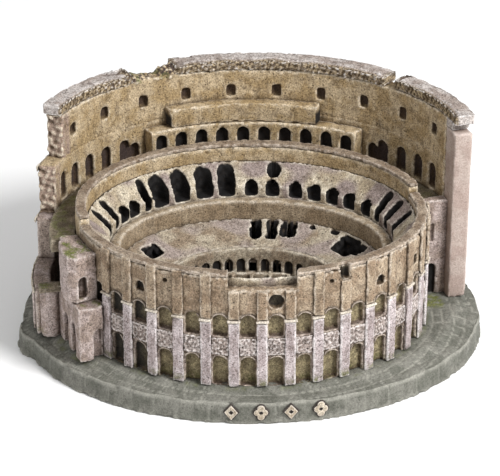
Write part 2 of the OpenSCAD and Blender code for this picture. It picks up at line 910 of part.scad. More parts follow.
module left_tower() {
    color(rose) difference() {
        ringed(left_top) linear_extrude(front_top - tower_drop - left_top)
            polygon([for (p = tower_plan) beside(p)]);
        left_neighbours();
        left_cap(far);
        ringed() {
            face_arch(tower_plan[1], tower_plan[2], 0.5, 4, 3, left_top + 2, left_top + 12);
            face_arch(tower_plan[7], tower_plan[8], 0.6, 4.4, 3, left_top + 3, left_top + 13);
        }
    }
}

base();
paving();
ornament_plaques();
front_ornaments();
facade_left();
facade_front();
facade_right();
facade_back();
facade_lower_shafts();
facade_capitals();
facade_upper_shafts();
facade_band();
facade_archivolts();
facade_coping();
back_parapet();
upper_seating();
walkway();
lower_seating();
arena_wall();
arena_floor();
arena_cells();
passage_floor();
gallery_arcade();
gallery_block();
storey_1_wall();
storey_1_columns();
storey_1_band();
storey_2_wall();
storey_2_columns();
storey_2_band();
storey_3_wall();
storey_3_columns();
storey_3_band();
attic_wall();
attic_pilasters();
attic_corbels();
cornice_left();
cornice_back();
cornice_right();
right_pier();
right_pier_capital();
right_cross_wall();
left_column();
left_column_cap();
left_block();
left_tower();
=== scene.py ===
import bpy
import math
import random
import numpy as np
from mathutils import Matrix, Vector
from mathutils.bvhtree import BVHTree
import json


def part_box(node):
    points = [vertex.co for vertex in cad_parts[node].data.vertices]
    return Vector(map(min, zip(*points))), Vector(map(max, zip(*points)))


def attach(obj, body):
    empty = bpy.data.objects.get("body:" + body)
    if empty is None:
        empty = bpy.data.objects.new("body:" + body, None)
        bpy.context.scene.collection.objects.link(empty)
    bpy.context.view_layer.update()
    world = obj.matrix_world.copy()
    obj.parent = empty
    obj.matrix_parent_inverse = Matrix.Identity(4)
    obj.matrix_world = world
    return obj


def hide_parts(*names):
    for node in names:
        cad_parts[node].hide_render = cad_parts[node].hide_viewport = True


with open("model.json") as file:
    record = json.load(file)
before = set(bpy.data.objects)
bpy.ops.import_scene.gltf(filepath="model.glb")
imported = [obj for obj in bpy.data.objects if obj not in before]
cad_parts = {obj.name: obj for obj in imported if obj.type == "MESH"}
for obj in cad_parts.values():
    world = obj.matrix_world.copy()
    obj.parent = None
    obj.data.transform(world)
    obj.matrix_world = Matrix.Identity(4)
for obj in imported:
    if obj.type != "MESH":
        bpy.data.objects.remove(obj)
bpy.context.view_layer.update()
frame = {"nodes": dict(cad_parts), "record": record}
mm = 0.001
print("frame loaded")


def only(piece):
    # operators act on everything selected, so exactly one piece is
    bpy.ops.object.select_all(action="DESELECT")
    piece.select_set(True)
    bpy.context.view_layer.objects.active = piece


def applyAll(piece):
    only(piece)
    for modifier in list(piece.modifiers):
        bpy.ops.object.modifier_apply(modifier=modifier.name)


def corners(node):
    low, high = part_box(node)
    return np.array(low), np.array(high)


def places(piece):
    # the piece's points, one row each, in metres
    flat = np.empty(len(piece.data.vertices) * 3, dtype=np.float32)
    piece.data.vertices.foreach_get("co", flat)
    return flat.reshape(-1, 3).astype(float)


def setPlaces(piece, points):
    piece.data.vertices.foreach_set("co", points.astype(np.float32).ravel())
    piece.data.update()


def paint(piece, name, values):
    # a value at each point, which the materials read by name
    layer = piece.data.attributes.new(name, "FLOAT", "POINT")
    layer.data.foreach_set("value", np.clip(values, 0, 1).astype(np.float32))


def smooth(low, high, value):
    share = np.clip((value - low) / (high - low), 0, 1)
    return share * share * (3 - 2 * share)


# where things are, from the frame
arenaLow, arenaHigh = corners("arena_floor")
centreY = (arenaLow[1] + arenaHigh[1]) / 2
facadeW = corners("facade_right")[1][0]
facadeD = centreY - corners("facade_front")[0][1]
seatHigh = corners("upper_seating")[1]
doorHigh = corners("walkway")[1]
podiumHigh = corners("lower_seating")[1]
arenaWallHigh = corners("arena_wall")[1]
pavingLow, pavingHigh = corners("paving")
baseHigh = corners("base")[1]
passageLow, passageHigh = corners("passage_floor")
corniceFoot, corniceTop = (corner[2] / mm for corner in corners("cornice_back"))
# the tall wall's oval has its middle a little to the right of the ring's
outerX = 1 * mm
outerBack = corners("attic_wall")[1][1] - centreY
passageBack = passageHigh[1] - centreY
wallT = outerBack - passageBack
# how far the gallery stands in from the tall wall
galleryT = 6.8 * mm
# from the walkway up to the foot of the upper seats
doorWallH = 4.8 * mm
# where the cornice is broken, in degrees of even arc round the tall wall
cornice = {"notch": (133.2, 136.8), "gap": (205.2, 219.6)}
# the stretches of the ring's wall, and the tall wall's storeys from the ground up
facades = ("facade_left", "facade_front", "facade_right")
storeys = ("storey_1_wall", "storey_2_wall", "storey_3_wall", "attic_wall")
ovals = {
    "facade": (facadeW, facadeD, 0, centreY),
    "seating": (seatHigh[0], seatHigh[1] - centreY, 0, centreY),
    "door": (doorHigh[0], doorHigh[1] - centreY, 0, centreY),
    "podium": (podiumHigh[0], podiumHigh[1] - centreY, 0, centreY),
    "arena": (arenaWallHigh[0], arenaWallHigh[1] - centreY, 0, centreY),
    "floor": (arenaHigh[0], arenaHigh[1] - centreY, 0, centreY),
    "passage": (outerX - passageLow[0], passageBack, outerX, centreY),
    "outer": (outerX - passageLow[0] + wallT, outerBack, outerX, centreY),
    "gallery": (outerX - passageLow[0] - galleryT, passageBack - galleryT, outerX, centreY),
    "base": (baseHigh[0], baseHigh[1], 0, 0),
}


def inward(points, oval):
    # how far each point lies inside an oval, in metres, negative outside it
    a, b, x, y = ovals[oval]
    dx, dy = points[:, 0] - x, points[:, 1] - y
    share = np.maximum(np.hypot(dx / a, dy / b), 1e-6)
    radius = np.hypot(dx, dy)
    # the oval's own slope makes the plain radial gap a little too long
    slant = np.hypot(dx / a ** 2, dy / b ** 2) * radius / share ** 2
    return radius / share * (1 - share) / np.maximum(slant, 1)


def around(points, oval):
    # each point's turn round an oval in radians, 0 at the front, growing towards +X
    a, b, x, y = ovals[oval]
    return np.arctan2((points[:, 0] - x) / a, -(points[:, 1] - y) / b)


def lead(oval):
    # how far a turn by even arc runs ahead of the plain one at most, in radians
    a, b = ovals[oval][:2]
    return math.radians(45 / math.pi * (a * a - b * b) / (a * a + b * b))


def evenTurn(points, oval):
    # the same turn in degrees of even arc, 0 to 360
    turn = around(points, oval)
    return np.degrees(turn + lead(oval) * np.sin(2 * turn)) % 360


def along(oval, turn, out, z):
    # a place beside an oval: turn in degrees of even arc, out and z in metres
    a, b, x, y = ovals[oval]
    even = math.radians(turn)
    t = even - lead(oval) * math.sin(2 * even)
    return (x + (a + out) * math.sin(t), y - (b + out) * math.cos(t), z)


def field(points, size, seed=0):
    # smooth noise between -1 and 1 from a few crossed waves, one lump about size long
    turns = random.Random(seed)
    total = np.zeros(len(points))
    for _ in range(9):
        way = Vector((turns.gauss(0, 1), turns.gauss(0, 1), turns.gauss(0, 1))).normalized()
        length = size * turns.uniform(0.7, 1.9)
        total += np.sin(points @ np.array(way) * 2 * math.pi / length + turns.uniform(0, 6.28))
    return np.clip(total / 4.5, -1, 1)


# a long lens that looks down on the low front
camera = {"lens": 165.5, "sensor": 36, "pitch": 28.08, "distance": 977.4 * mm,
          "target": (-0.6 * mm, -12 * mm, 49.65 * mm)}
down = math.radians(camera["pitch"])
bpy.ops.object.camera_add()
cam = bpy.context.object
cam.name = "camera"
cam.data.lens = camera["lens"]
cam.data.sensor_width = camera["sensor"]
back = Vector((0, -math.cos(down), math.sin(down)))
cam.location = Vector(camera["target"]) + camera["distance"] * back
cam.rotation_euler = (math.pi / 2 - down, 0, 0)
cam.data.clip_start = 0.05
cam.data.clip_end = 20
bpy.context.scene.camera = cam

bpy.ops.mesh.primitive_plane_add(size=4)
floor = bpy.context.object
floor.name = "floor"
floorMaterial = bpy.data.materials.new("floor")
floorMaterial.use_nodes = True
floorShader = floorMaterial.node_tree.nodes["Principled BSDF"]
floorShader.inputs["Base Color"].default_value = (0.93, 0.93, 0.93, 1)
floorShader.inputs["Roughness"].default_value = 0.9
floor.data.materials.append(floorMaterial)

studio = {"sky": 0.6, "key": 25, "fill": 2}
bpy.context.scene.view_settings.view_transform = "Standard"
world = bpy.data.worlds.new("studio")
bpy.context.scene.world = world
world.use_nodes = True
world.node_tree.nodes["Background"].inputs["Color"].default_value = (1, 1, 1, 1)
world.node_tree.nodes["Background"].inputs["Strength"].default_value = studio["sky"]


def softbox(name, place, size, power):
    bpy.ops.object.light_add(type="AREA", location=place)
    lamp = bpy.context.object
    lamp.name = name
    lamp.data.size = size
    lamp.data.energy = power
    aim = Vector((0, 0, 0.04)) - lamp.location
    lamp.rotation_euler = aim.to_track_quat("-Z", "Y").to_euler()


softbox("keyLight", (0.85, -0.65, 1.05), 0.4, studio["key"])
softbox("fillLight", (-1.1, -0.9, 0.8), 1.0, studio["fill"])


def painted(name, look):
    # washed casting resin: two body colours, a dark wash in the hollows, a dry brush on the edges, and
    # painted shade in the openings
    material = bpy.data.materials.new(name)
    material.use_nodes = True
    tree = material.node_tree
    nodes = tree.nodes
    shader = nodes["Principled BSDF"]

    def add(kind, **settings):
        node = nodes.new(kind)
        for key, value in settings.items():
            setattr(node, key, value)
        return node

    def join(source, target):
        tree.links.new(source, target)

    place = add("ShaderNodeTexCoord").outputs["Object"]

    def noise(scale, detail, rough):
        node = add("ShaderNodeTexNoise")
        node.inputs["Scale"].default_value = scale
        node.inputs["Detail"].default_value = detail
        node.inputs["Roughness"].default_value = rough
        join(place, node.inputs["Vector"])
        return node.outputs["Fac"]

    def streaks():
        # stains that ran down
        squash = add("ShaderNodeMapping")
        squash.inputs["Scale"].default_value = (1, 1, 0.16)
        join(place, squash.inputs["Vector"])
        node = add("ShaderNodeTexNoise")
        node.inputs["Scale"].default_value = 480
        node.inputs["Detail"].default_value = 4
        join(squash.outputs[0], node.inputs["Vector"])
        return node.outputs["Fac"]

    def ranged(value, low, high, to=(0, 1)):
        node = add("ShaderNodeMapRange", interpolation_type="SMOOTHSTEP")
        node.inputs["From Min"].default_value = low
        node.inputs["From Max"].default_value = high
        node.inputs["To Min"].default_value = to[0]
        node.inputs["To Max"].default_value = to[1]
        join(value, node.inputs["Value"])
        return node.outputs["Result"]

    def sums(kind, first, second):
        node = add("ShaderNodeMath", operation=kind)
        for socket, value in zip(node.inputs, (first, second)):
            if hasattr(value, "is_linked"):
                join(value, socket)
            else:
                socket.default_value = value
        return node.outputs[0]

    def mixed(share, first, second, blend="MIX"):
        node = add("ShaderNodeMix", data_type="RGBA", blend_type=blend)
        if hasattr(share, "is_linked"):
            join(share, node.inputs[0])
        else:
            node.inputs[0].default_value = share
        for socket, value in ((node.inputs[6], first), (node.inputs[7], second)):
            if hasattr(value, "is_linked"):
                join(value, socket)
            else:
                socket.default_value = (*value, 1)
        return node.outputs[2]

    def attribute(word):
        return add("ShaderNodeAttribute", attribute_name=word).outputs["Fac"]

    blotch = noise(110, 4, 0.6)
    speckle = noise(1300, 5, 0.75)
    colour = mixed(ranged(blotch, 0.4, 0.6), look["body"], look["second"])
    colour = mixed(attribute("tint"), colour, look.get("tint", (0.40, 0.32, 0.27)))
    if "foot" in look:
        # another colour below a height, with a ragged border
        height = add("ShaderNodeSeparateXYZ")
        join(place, height.inputs[0])
        ragged = sums("ADD", height.outputs["Z"], sums("MULTIPLY", blotch, 0.006))
        low, high = look["footHeights"]
        colour = mixed(ranged(ragged, low + 0.003, high + 0.003), look["foot"], colour)
    # shallow recesses: their colour is partly the arch backs' own and partly painted shade, and it is
    # stained like the rest
    if "recess" in look:
        darker = tuple(value * 0.5 for value in look["recess"])
        fleck = mixed(ranged(noise(380, 4, 0.7), 0.35, 0.65), look["recess"], darker)
        colour = mixed(attribute("deep"), colour, fleck)
    # stains: broad and fine
    stain = look.get("stain", 0.5)
    colour = mixed(ranged(noise(260, 5, 0.75), 0.5, 0.66, (0, stain)), colour, look["wash"])
    colour = mixed(ranged(streaks(), 0.5, 0.7, (0, stain * 0.7)), colour, look["wash"])
    colour = mixed(ranged(speckle, 0.5, 0.66, (0, min(1, stain * 1.5))), colour, look["wash"])
    # painted shade in the openings, darkest deep inside
    if "recess" not in look:
        colour = mixed(attribute("deep"), colour, look.get("dark", (0.012, 0.010, 0.009)))
    # joints between slabs
    colour = mixed(sums("MULTIPLY", attribute("joint"), look.get("jointed", 0.55)), colour,
                   look.get("jointColour", look["wash"]))
    # moss
    green = mixed(ranged(speckle, 0.35, 0.65), (0.07, 0.08, 0.02), (0.21, 0.22, 0.07))
    grown = sums("MULTIPLY", attribute("moss"), ranged(noise(420, 4, 0.7), 0.36, 0.56))
    colour = mixed(grown, colour, green)
    # dark wash that stays in the hollows
    shade = add("ShaderNodeAmbientOcclusion", samples=8)
    shade.inputs["Distance"].default_value = look.get("hollow", 0.004)
    hollow = ranged(shade.outputs["AO"], 0.25, 0.95, (look.get("depth", 0.85), 0))
    colour = mixed(hollow, colour, look["wash"])
    colour = mixed(sums("MULTIPLY", attribute("sunk"), 0.75), colour, look["wash"])
    # pits that hold the dark wash
    spots = add("ShaderNodeTexVoronoi")
    spots.inputs["Scale"].default_value = look.get("pitScale", 620)
    join(place, spots.inputs["Vector"])
    pitted = sums("MULTIPLY", ranged(spots.outputs["Distance"], 0.26, 0.12),
                  ranged(noise(330, 3, 0.6), 0.45, 0.58, (0, look.get("pitted", 0.85))))
    colour = mixed(pitted, colour, tuple(value * 0.45 for value in look["wash"]))
    # dry brush on what stands out
    bright = sums("MULTIPLY", attribute("worn"), ranged(speckle, 0.35, 0.6, (0.45, 1)))
    bright = sums("MULTIPLY", bright, sums("SUBTRACT", 1, attribute("deep")))
    colour = mixed(sums("MULTIPLY", bright, look.get("dry", 0.75)), colour, look["brush"])
    # fine light and dark grains, then the near-black painted shade of the deepest openings
    grain = ranged(noise(1700, 4, 0.7), 0.36, 0.64, look.get("grains", (0.64, 1.32)))
    colour = mixed(1.0, colour, grain, "MULTIPLY")
    colour = mixed(attribute("black"), colour, (0.010, 0.009, 0.009))
    join(colour, shader.inputs["Base Color"])
    join(ranged(speckle, 0.3, 0.7, (0.62, 0.88)), shader.inputs["Roughness"])
    shader.inputs["Specular IOR Level"].default_value = 0.3
    bump = add("ShaderNodeBump")
    bump.inputs["Strength"].default_value = look.get("grain", 0.6)
    bump.inputs["Distance"].default_value = 0.0006
    grains = sums("SUBTRACT", noise(1300, 6, 0.75), sums("MULTIPLY", pitted, 1.5))
    join(grains, bump.inputs["Height"])
    join(bump.outputs[0], shader.inputs["Normal"])
    return material


# two body colours, the wash in the hollows and the brush on the edges, then what sets a finish apart:
# stain, dry, pitted, jointed and depth are strengths; footHeights is in metres
# dark is the colour of the painted shade deep in openings; recess is the facade's arch backs, partly own
# colour and partly painted shade
finishes = {
    "ochre_resin": {"body": (0.38, 0.275, 0.145), "second": (0.52, 0.41, 0.265),
                    "wash": (0.075, 0.045, 0.022), "brush": (0.72, 0.63, 0.50), "dry": 0.9,
                    "dark": (0.05, 0.034, 0.030), "tint": (0.36, 0.265, 0.21)},
    "facade": {"body": (0.285, 0.205, 0.135), "second": (0.41, 0.32, 0.225), "wash": (0.07, 0.045, 0.026),
               "foot": (0.34, 0.27, 0.24), "footHeights": (0.036, 0.042), "recess": (0.45, 0.38, 0.22),
               "brush": (0.66, 0.58, 0.48), "hollow": 0.005, "depth": 0.95},
    "grit": {"body": (0.30, 0.24, 0.21), "second": (0.48, 0.41, 0.38), "wash": (0.05, 0.035, 0.027),
             "brush": (0.76, 0.70, 0.67), "stain": 0.75, "dry": 0.9, "pitted": 1},
    "rim": {"body": (0.30, 0.24, 0.19), "second": (0.40, 0.33, 0.27), "wash": (0.09, 0.06, 0.04),
            "brush": (0.50, 0.44, 0.38), "stain": 0.8, "dry": 0.45},
    "rose_resin": {"body": (0.34, 0.265, 0.225), "second": (0.50, 0.41, 0.38), "wash": (0.08, 0.05, 0.035),
                   "brush": (0.76, 0.68, 0.64), "dark": (0.03, 0.022, 0.018)},
    "shaft": {"body": (0.40, 0.335, 0.33), "second": (0.56, 0.49, 0.49), "wash": (0.12, 0.085, 0.07),
              "brush": (0.82, 0.78, 0.77), "stain": 0.6},
    "stone_resin": {"body": (0.42, 0.345, 0.24), "second": (0.60, 0.53, 0.41), "wash": (0.09, 0.06, 0.04),
                    "brush": (0.76, 0.70, 0.60), "tint": (0.31, 0.25, 0.23)},
    "podium": {"body": (0.275, 0.205, 0.13), "second": (0.38, 0.30, 0.205), "wash": (0.08, 0.055, 0.035),
               "brush": (0.60, 0.53, 0.44)},
    "coping": {"body": (0.22, 0.16, 0.11), "second": (0.34, 0.27, 0.20), "wash": (0.07, 0.045, 0.03),
               "brush": (0.62, 0.54, 0.46)},
    "seat_resin": {"body": (0.28, 0.215, 0.15), "second": (0.43, 0.37, 0.28), "wash": (0.08, 0.055, 0.035),
                   "brush": (0.72, 0.66, 0.56), "tint": (0.34, 0.28, 0.25), "dark": (0.008, 0.007, 0.006)},
    "moss_resin": {"body": (0.15, 0.12, 0.08), "second": (0.27, 0.22, 0.155), "wash": (0.04, 0.03, 0.02),
                   "brush": (0.42, 0.37, 0.28)},
    "pale_resin": {"body": (0.36, 0.30, 0.265), "second": (0.54, 0.49, 0.46), "wash": (0.10, 0.07, 0.055),
                   "brush": (0.84, 0.81, 0.79), "stain": 0.65, "pitted": 1,
                   "dark": (0.07, 0.045, 0.022), "tint": (0.40, 0.31, 0.19)},
    "pier": {"body": (0.40, 0.31, 0.27), "second": (0.47, 0.385, 0.34), "wash": (0.2, 0.14, 0.11),
             "brush": (0.66, 0.57, 0.52), "stain": 0.2, "pitted": 0.2, "grains": (0.84, 1.12)},
    "plinth_resin": {"body": (0.15, 0.15, 0.125), "second": (0.225, 0.22, 0.19), "wash": (0.06, 0.06, 0.048),
                     "brush": (0.40, 0.39, 0.34), "jointColour": (0.42, 0.41, 0.36), "jointed": 0.5,
                     "depth": 0.5, "stain": 0.45, "pitted": 0.3, "grains": (0.8, 1.14)},
    "cream_paint": {"body": (0.42, 0.35, 0.26), "second": (0.56, 0.49, 0.39), "wash": (0.13, 0.09, 0.06),
                    "brush": (0.74, 0.68, 0.60), "stain": 0.45, "pitted": 0.4},
    "dark_wash": {"body": (0.045, 0.037, 0.033), "second": (0.07, 0.057, 0.05), "wash": (0.025, 0.02, 0.017),
                  "brush": (0.12, 0.1, 0.085), "dry": 0.3},
}
finishes["paving_resin"] = dict(finishes["plinth_resin"], jointColour=(0.38, 0.37, 0.32), jointed=0.6)
materials = {name: painted(name, look) for name, look in finishes.items()}
print("materials ready")


def clouded(piece, name, size, strength, kind="CLOUDS"):
    # a push along the normals by a solid texture
    texture = bpy.data.textures.new(piece.name + name, kind)
    texture.noise_scale = size
    if kind == "CLOUDS":
        texture.noise_depth = 3
        texture.noise_basis = "ORIGINAL_PERLIN"
    push = piece.modifiers.new(name, "DISPLACE")
    push.texture = texture
    push.texture_coords = "LOCAL"
    push.strength = strength
    push.mid_level = 0.5


def facing(piece):
    flat = np.empty(len(piece.data.vertices) * 3, dtype=np.float32)
    piece.data.vertices.foreach_get("normal", flat)
    return flat.reshape(-1, 3).astype(float)


def bulge(piece, rounds=2):
    # how far each point stands out from its neighbours, spread over a few rings of points
    points, normals = places(piece), facing(piece)
    ends = np.empty(len(piece.data.edges) * 2, dtype=np.int32)
    piece.data.edges.foreach_get("vertices", ends)
    first, second = ends[0::2], ends[1::2]
    count = np.maximum(np.bincount(ends, minlength=len(points)), 1)

    def averaged(values):
        return (np.bincount(first, values[second], len(points))
                + np.bincount(second, values[first], len(points))) / count

    centre = points
    for _ in range(rounds):
        centre = np.stack([averaged(centre[:, axis]) for axis in range(3)], axis=1)
    out = ((points - centre) * normals).sum(axis=1)
    return averaged(out)


def pebbles(spots, seed):
    # small angular stones, one at each (place, radius)
    pick = random.Random(seed)
    bpy.ops.mesh.primitive_ico_sphere_add(subdivisions=1, radius=1)
    pattern = bpy.context.object
    shape = places(pattern)
    faces = np.array([list(face.vertices) for face in pattern.data.polygons])
    bpy.ops.object.delete()
    allPoints, allFaces = [], []
    for spot, radius in spots:
        spin = Vector([pick.gauss(0, 1) for _ in range(3)]).normalized()
        turned = Vector((0, 0, 1)).rotation_difference(spin).to_matrix()
        size = np.array([radius * pick.uniform(0.7, 1.3) for _ in range(3)])
        allFaces.append(faces + len(shape) * len(allPoints))
        allPoints.append((shape * size) @ np.array(turned).T + np.array(spot))
    mesh = bpy.data.meshes.new("pebbles")
    mesh.from_pydata(np.concatenate(allPoints).tolist(), [], np.concatenate(allFaces).tolist())
    stones = bpy.data.objects.new("pebbles", mesh)
    bpy.context.collection.objects.link(stones)
    return stones


def cast(node, voxel=0.6, keepAbove=None, lumps=0.5, pits=0.35, chips=0.5, finish=None,
         shape=None, stones=None, craters=0, meets=()):
    # a remeshed, roughened copy of a frame node; the numbers are in millimetres
    source = frame["nodes"][node]
    piece = bpy.data.objects.new(node + "_cast", source.data.copy())
    bpy.context.collection.objects.link(piece)
    only(piece)
    bpy.ops.object.mode_set(mode="EDIT")
    bpy.ops.mesh.select_all(action="SELECT")
    bpy.ops.mesh.remove_doubles(threshold=1e-6)
    if keepAbove is not None:
        bpy.ops.mesh.select_all(action="SELECT")
        bpy.ops.mesh.bisect(plane_co=(0, 0, keepAbove * mm), plane_no=(0, 0, 1), use_fill=True,
                            clear_inner=True)
    bpy.ops.object.mode_set(mode="OBJECT")
    if stones:
        loose = pebbles(stones, len(node))
        only(piece)
        loose.select_set(True)
        bpy.ops.object.join()
    remesh = piece.modifiers.new("remesh", "REMESH")
    remesh.mode = "VOXEL"
    remesh.voxel_size = voxel * mm
    remesh.use_smooth_shade = True
    applyAll(piece)
    if chips:
        # corners wear away unevenly
        points = places(piece)
        sharp = np.clip(bulge(piece, 3) / (0.5 * voxel * mm), 0, 1)
        bite = smooth(-0.15, 0.7, field(points, 4.5 * mm, len(node))) + 0.25
        normals = facing(piece)
        for height in meets:
            # no wear where the next piece stands, and a little overlap
            close = 1 - smooth(0.6, 1.4, np.abs(points[:, 2] / mm - height))
            bite *= 1 - close
            points[:, 2] += close * np.sign(normals[:, 2]) * (np.abs(normals[:, 2]) > 0.2) * 0.35 * mm
        setPlaces(piece, points - normals * (sharp * bite * chips * mm)[:, None])
    if shape:
        setPlaces(piece, shape(places(piece), facing(piece)))
    clouded(piece, "lumps", 5 * mm, lumps * mm)
    clouded(piece, "grit", 1.4 * mm, pits * mm)
    if craters:
        clouded(piece, "craters", 3 * voxel * mm, craters * mm, "VORONOI")
    applyAll(piece)
    stood = bulge(piece, 2) / (voxel * mm)
    heights = places(piece)[:, 2] / mm
    for height in meets:
        stood *= smooth(0.5, 1.3, np.abs(heights - height))
    paint(piece, "worn", smooth(0.03, 0.22, stood))
    paint(piece, "sunk", smooth(-0.04, -0.24, stood))
    slotName = next(row["material_slot"] for row in frame["record"]["subparts"] if row["node"] == node)
    piece.data.materials.clear()
    piece.data.materials.append(materials[finish or slotName])
    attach(piece, "root")
    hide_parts(node)
    return piece


def grooves(turn, spacing, width, seed):
    # 1 on thin lines across a turn, the lines unevenly spaced
    pick = random.Random(seed)
    value = np.zeros(len(turn))
    at = 0.0
    while at < 360:
        value = np.maximum(value, 1 - smooth(width * 0.4, width, np.abs(turn - at)))
        at += spacing * pick.uniform(0.75, 1.3)
    return value


# the paving's joints: rings in millimetres from the facade, and lines across them, in degrees apart
paved = {"rings": (4.2, 8.4, 13.0, 17.5, 22.5, 28, 60), "across": (8.5, 6.5)}
# the lines down the base's side, and the lump that juts out at its left
edge = {"spacing": 7.2, "seed": 4, "lumpTurn": 283, "lumpOut": 4.2}


def slabs(points):
    # joints of the paving: rings, and staggered joints across them, as a depth from 0 to 1
    out = -inward(points, "facade") / mm
    turn = evenTurn(points, "facade")
    out = out + 0.35 * field(points, 30 * mm, 5)
    value = np.zeros(len(points))
    low = -5.0
    for number, high in enumerate(paved["rings"]):
        value = np.maximum(value, 1 - smooth(0.08, 0.4, np.abs(out - high)))
        across = grooves(turn, paved["across"][number % 2], 0.26, 20 + number)
        value = np.maximum(value, across * (out > low) * (out < high))
        low = high
    return value


def shapePaving(points, normals):
    # the paving falls gently to its edge
    up = smooth(0.5, 0.9, normals[:, 2])
    points[:, 2] += (0.3 * field(points, 9 * mm, 3) - 0.28 * slabs(points)) * up * mm
    foot = baseHigh[2] - 0.5 * mm
    rim = inward(pavingLow[None] * [1, 0, 0], "base")
    inner = smooth(-0.5, 8, (inward(points, "base") - rim) / mm)
    points[:, 2] = foot + (points[:, 2] - foot) * (0.06 + 0.94 * inner)
    return points


def shapeBase(points, normals):
    # a worn rim and wavy sides
    side = 1 - smooth(0.5, 0.9, np.abs(normals[:, 2]))
    top = smooth(0.5, 0.9, normals[:, 2]) * (points[:, 2] > baseHigh[2] - 1.5 * mm)
    turn = evenTurn(points, "base")
    wave = field(np.stack([points[:, 0], points[:, 1], points[:, 2] * 0.5], axis=1), 16 * mm, 8)
    nearEdge = 1 - smooth(0, 6 * mm, inward(points, "base"))
    toMiddle = -points * np.array([1, 1, 0])
    toMiddle /= np.maximum(np.linalg.norm(toMiddle, axis=1), 1e-6)[:, None]
    rise = smooth(baseHigh[2] - 4 * mm, baseHigh[2], points[:, 2])
    push = nearEdge * (0.55 + 0.55 * wave) * (0.35 + rise)
    course = 1 - smooth(0.1, 0.35, np.abs(points[:, 2] / mm - 6.4 - 0.3 * wave))
    joint = np.maximum(grooves(turn, edge["spacing"], 0.28, edge["seed"]) * side, course * side * 0.6)
    push += 0.28 * joint
    lump = 1 - smooth(1.5, 7, np.abs(turn - edge["lumpTurn"]))
    push -= edge["lumpOut"] * nearEdge * lump * (0.9 + 0.3 * wave)
    points += toMiddle * (push * mm)[:, None]
    points[:, 2] -= (top * nearEdge * 0.7 + slabs(points) * top * 0.3) * mm
    return points


def shapeCornice(points, normals):
    # the top sags unevenly and its inner edge is broken
    turn = evenTurn(points, "outer")
    up = smooth(0.3, 0.9, normals[:, 2])
    inner = 1 - smooth(0.2, 2.6, -inward(points, "passage") / mm)
    points[:, 2] -= (up * (0.35 + 0.45 * field(points, 14 * mm, 9)) + up * inner * 0.8) * mm
    for end, spread in zip((*cornice["gap"], *cornice["notch"]), (5, 9, 2, 4)):
        near = 1 - smooth(0, spread, np.abs(turn - end))
        points[:, 2] -= up * near * (2.1 + 1.3 * field(points, 4 * mm, 11)) * mm
    return points


def shapeEnd(points, normals):
    # the broken left ends are lumpy
    turn = evenTurn(points, "outer")
    end = 1 - smooth(0, 1.6, turn.max() - turn)
    return points + normals * (end * (0.9 * field(points, 4 * mm, 71) - 0.5) * mm)[:, None]


def shapeRagged(points, normals):
    # the openings' sides are torn and cut back a little
    upper = points[:, 2].max() > podiumHigh[2] + 3 * mm
    outside, within, torn = ("seating", "door", 0.35) if upper else ("podium", "arena", 0.9)
    side = 1 - smooth(0.4, 0.85, np.abs(normals[:, 2]))
    band = smooth(0.3, 0.8, inward(points, outside) / mm) * smooth(0.3, 0.8, -inward(points, within) / mm)
    tear = torn * field(points, 2.6 * mm, 13) - 0.3
    return points + normals * (tear * side * band * mm)[:, None]


def rubble(count, oval, turns, outs, heights, sizes, seed):
    # places and radii of small stones strewn beside an oval, given in degrees and millimetres
    pick = random.Random(seed)
    return [(along(oval, pick.uniform(*turns), pick.uniform(*outs) * mm, pick.uniform(*heights) * mm),
             pick.uniform(*sizes) * mm) for _ in range(count)]


def heap(end, way, high, seed):
    # broken stone piled against one side of the gap in the cornice
    spots = []
    for step in range(6):
        top = min(corniceFoot + high * (1 - step / 6), corniceTop - 1.3)
        spots += rubble(22, "passage", (end + way * step, end + way * (step + 1)), (0.3, wallT / mm - 1),
                        (corniceFoot, top), (0.6, 1.1), seed + step)
    return spots


gapStones = (heap(cornice["gap"][0] - 1, 1, 8, 35) + heap(cornice["gap"][1] + 1, -1, 4, 45)
             + rubble(90, "passage", (204, 221), (-0.3, wallT / mm - 1),
                      (corniceFoot - 0.6, corniceFoot + 0.7), (0.6, 1.3), 31))
leftStones = rubble(240, "passage", (219.5, 234), (-0.5, 0.5),
                    (corniceFoot + 0.3, corniceTop - 1.0), (0.35, 0.75), 32)
backStones = rubble(1300, "passage", (137, 205), (-0.5, 0.4),
                    (corniceFoot + 0.2, corniceTop - 0.8), (0.35, 0.72), 33)
rightStones = rubble(45, "passage", (110, 133), (-0.1, 0.5),
                     (corniceFoot + 0.4, corniceTop - 1.2), (0.3, 0.6), 34)
# the heights where the tall wall's storeys meet, in millimetres
storeyTops = [corners(node)[1][2] / mm for node in storeys[:3]]

